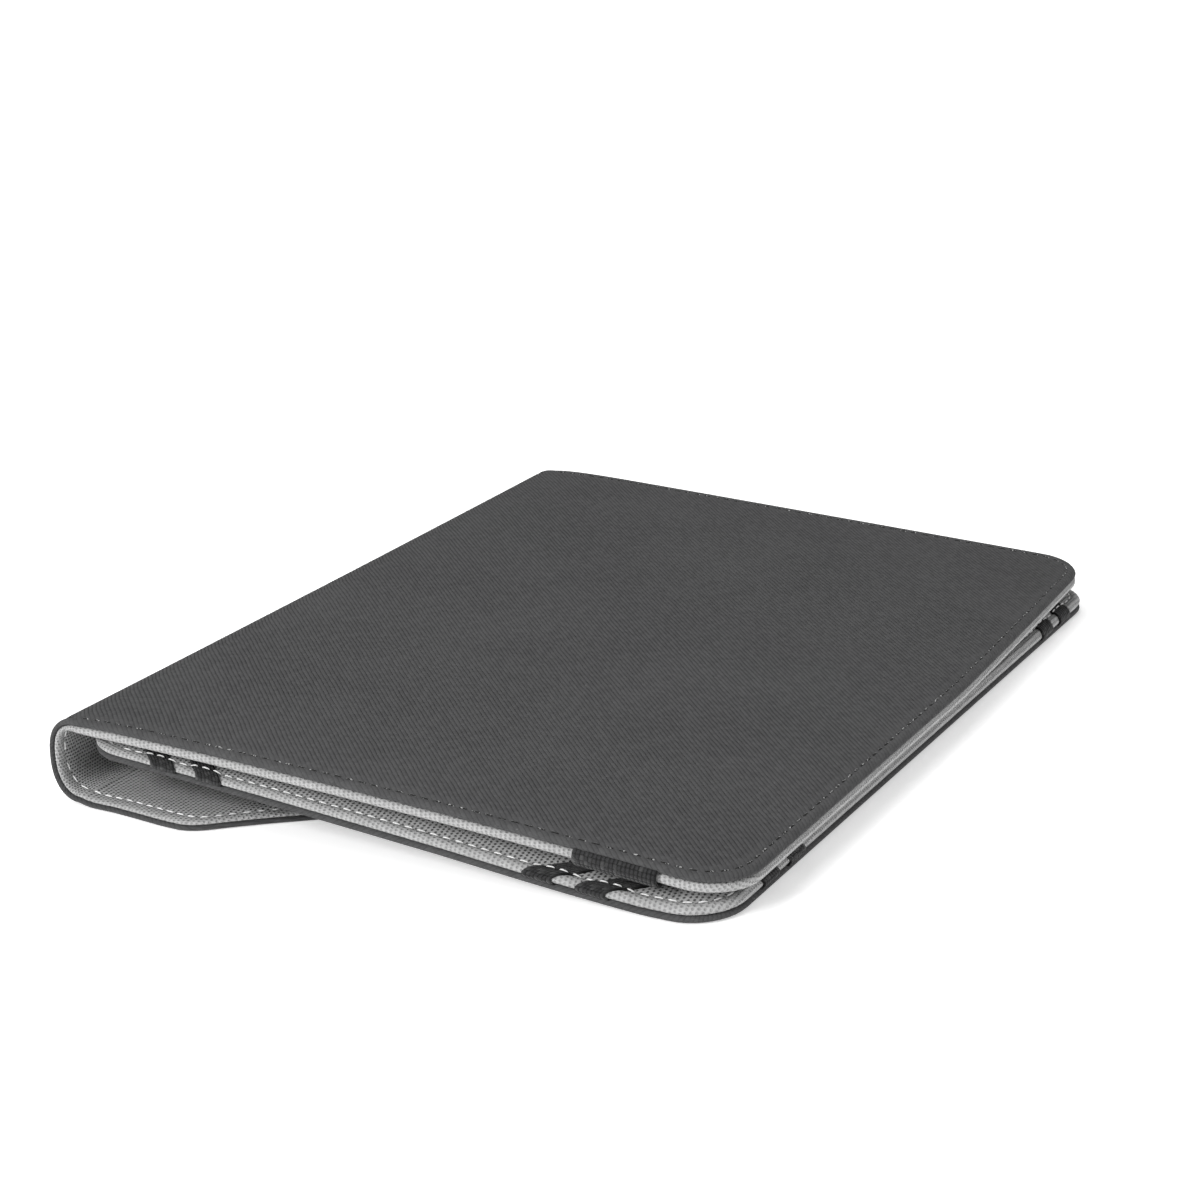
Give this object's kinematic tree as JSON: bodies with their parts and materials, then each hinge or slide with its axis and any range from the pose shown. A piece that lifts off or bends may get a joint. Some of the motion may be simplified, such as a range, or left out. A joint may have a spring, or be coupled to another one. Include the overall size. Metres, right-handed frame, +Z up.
{
  "type": "tablet folio case",
  "caption": "Book-style fabric folio case for a tablet, shown closed: a soft spine joins a flat flap to a padded cover over a hinged tablet holder with elastic corner bands.",
  "frame": {"origin": "middle of the underside of the closed case", "axes": "+X from the spine to the opening edge, +Y along the spine, +Z up out of the cover"},
  "size_m": [0.2098, 0.2576, 0.0254],
  "materials": {
    "grey_twill": "matte twill cloth with fine diagonal ribs",
    "light_mesh": "matte light grey spacer mesh with small dark holes",
    "black_elastic": "ribbed woven elastic, satin",
    "greyboard": "uncoated board",
    "foam": "fine open foam"
  },
  "bodies": {
    "flap": {"flap_shell": "grey_twill", "flap_board": "greyboard", "flap_lining": "light_mesh"},
    "spine": {"spine_shell": "grey_twill", "spine_stiffener": "greyboard", "spine_lining": "light_mesh"},
    "cover": {"cover_shell": "grey_twill", "cover_board": "greyboard", "cover_lining": "light_mesh", "closure_band": "black_elastic"},
    "holder": {"holder_shell": "grey_twill", "holder_board": "greyboard", "holder_foam": "foam", "holder_lining": "light_mesh", "hinge_tab": "grey_twill", "corner_band_edge_near_outer": "black_elastic", "corner_band_edge_near_inner": "black_elastic", "corner_band_edge_far_outer": "black_elastic", "corner_band_edge_far_inner": "black_elastic", "corner_band_spine_near_outer": "black_elastic", "corner_band_spine_near_inner": "black_elastic", "corner_band_spine_far_outer": "black_elastic", "corner_band_spine_far_inner": "black_elastic"}
  },
  "joints": [
    {"name": "spine_fold", "type": "hinge", "parent": "flap", "child": "spine", "pos_m": [-0.0951, 0, 0.00065], "axis": [0, -1, 0], "range_deg": [0, 180]},
    {"name": "cover_fold", "type": "hinge", "parent": "spine", "child": "cover", "pos_m": [-0.0951, 0, 0.02555], "axis": [0, -1, 0], "range_deg": [0, 180]},
    {"name": "holder_tilt", "type": "hinge", "parent": "flap", "child": "holder", "pos_m": [0.06682, 0, 0.00275], "axis": [0, 1, 0], "range_deg": [-1.5, 0]}
  ]
}
